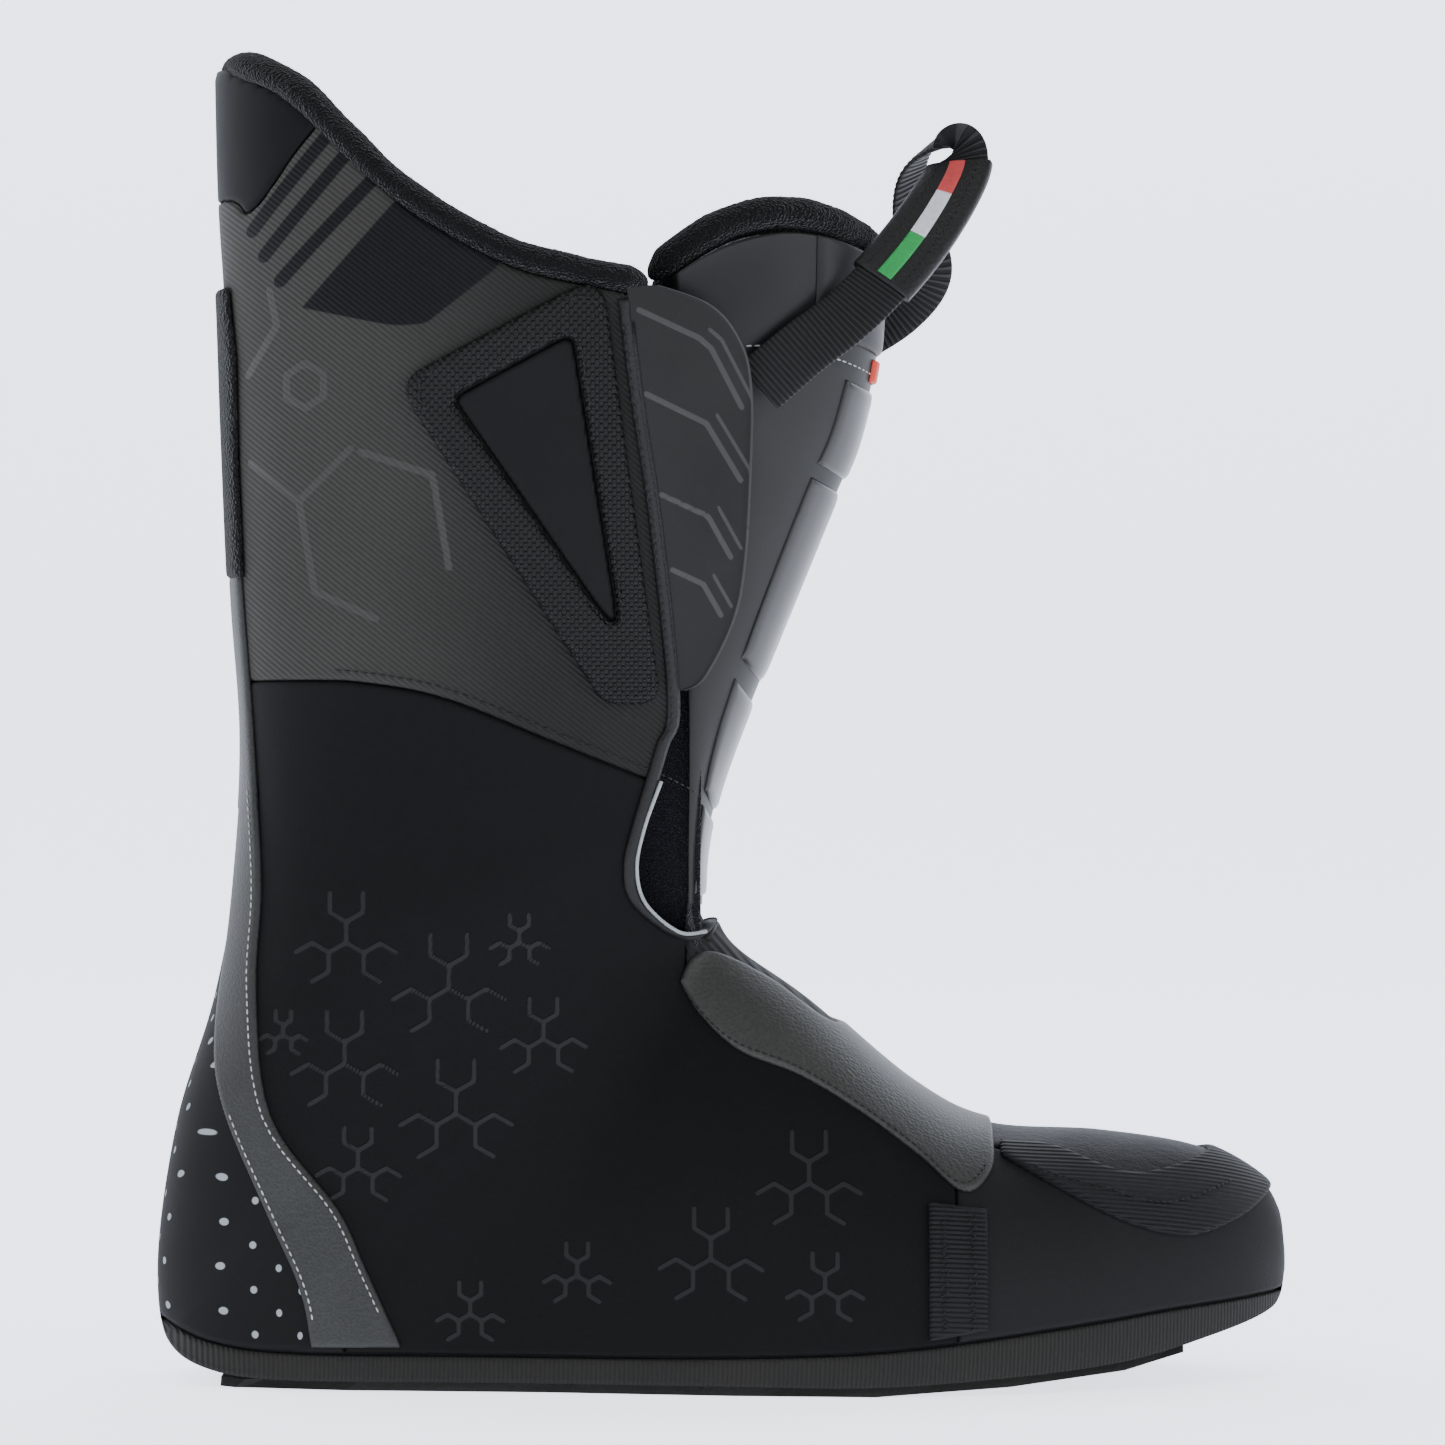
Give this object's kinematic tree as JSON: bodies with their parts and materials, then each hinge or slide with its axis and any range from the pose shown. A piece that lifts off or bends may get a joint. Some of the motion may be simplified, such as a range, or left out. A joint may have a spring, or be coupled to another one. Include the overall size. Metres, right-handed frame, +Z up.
{
  "type": "alpine ski boot liner",
  "caption": "Removable padded inner boot of a right alpine ski boot, with a tall cuff, a hinged tongue, springy front flaps and a webbing pull loop.",
  "frame": {"origin": "on the underside of the sole pad, half way between heel and toe, on the middle line of the heel and cuff", "axes": "+X to the toe, +Z up, +Y to the wearer's inner side (this is a right boot)"},
  "size_m": [0.289, 0.1166, 0.3383],
  "materials": {
    "fabric": "matt laminated stretch fabric",
    "cuff": "fine ribbed coated fabric",
    "plush": "short pile plush",
    "leather": "smooth synthetic leather",
    "rubber": "moulded, textured",
    "rand": "fine ribbed band",
    "foam": "closed-cell foam",
    "lining": "brushed inner lining",
    "plastic": "soft sheet, satin",
    "gloss": "smooth raised pads",
    "board": "fibre board",
    "webbing": "ribbed woven tape",
    "white": "thin piping",
    "stripe_green": "printed stripe",
    "stripe_white": "printed stripe",
    "stripe_red": "printed stripe",
    "tag_red": "woven tab"
  },
  "bodies": {
    "boot": {"collar_roll": "plush", "outsole_pad": "rubber", "sole_rand": "rand", "lasting_board": "board", "footbed": "lining", "toe_top_panel": "fabric", "toe_side_panel": "fabric", "heel_panel": "fabric", "instep_gusset": "webbing", "quarter_right": "fabric", "quarter_left": "fabric", "cuff_panel": "cuff", "spoiler_panel": "fabric", "heel_strap": "leather", "instep_facing": "leather", "toe_seam_tape": "webbing", "spine_patch": "plush", "vamp_seam_tape_right": "webbing", "brace_frame_right": "rubber", "brace_window_right": "fabric", "edge_binding_right": "webbing", "ankle_piping_right": "white", "vamp_seam_tape_left": "webbing", "brace_frame_left": "rubber", "brace_window_left": "fabric", "edge_binding_left": "webbing", "ankle_piping_left": "white", "heel_counter": "board", "spine_stiffener": "board", "ankle_pad_right": "foam", "ankle_pad_left": "foam", "foam_toe": "foam", "foam_waist_right": "foam", "foam_heel_right": "foam", "foam_waist_left": "foam", "foam_heel_left": "foam", "foam_cuff": "foam", "lining_toe": "lining", "lining_ankle": "lining", "lining_cuff": "lining"},
    "tongue": {"tongue_collar": "plush", "tongue_shell": "plastic", "tongue_padding": "foam", "tongue_lining": "lining", "tongue_pad_1": "gloss", "tongue_pad_2": "gloss", "tongue_pad_3": "gloss", "tongue_pad_4": "gloss", "loop_tag": "tag_red", "tongue_cap": "plastic"},
    "flap_right": {"front_flap_right": "plastic"},
    "flap_left": {"front_flap_left": "plastic"},
    "pull_loop": {"pull_webbing": "webbing", "grip_sleeve": "leather", "stripe_green": "stripe_green", "stripe_white": "stripe_white", "stripe_red": "stripe_red"}
  },
  "joints": [
    {"name": "tongue_tilt", "type": "hinge", "parent": "boot", "child": "tongue", "pos_m": [-0.005, 0, 0.112], "axis": [0, 1, 0], "range_deg": [-2, 45], "stiffness_Nm_per_rad": 1.5},
    {"name": "flap_right_open", "type": "hinge", "parent": "boot", "child": "flap_right", "pos_m": [-0.0106, -0.0387, 0.1755], "axis": [0.1181, 0.1983, -0.973], "range_deg": [0, 45], "stiffness_Nm_per_rad": 0.2},
    {"name": "flap_left_open", "type": "hinge", "parent": "boot", "child": "flap_left", "pos_m": [-0.0106, 0.0387, 0.1755], "axis": [-0.1181, 0.1983, 0.973], "range_deg": [0, 45], "stiffness_Nm_per_rad": 0.2},
    {"name": "pull_loop_swing", "type": "hinge", "parent": "tongue", "child": "pull_loop", "pos_m": [0.009, 0, 0.2515], "axis": [0, 1, 0], "range_deg": [-4, 50], "stiffness_Nm_per_rad": 0.12}
  ]
}
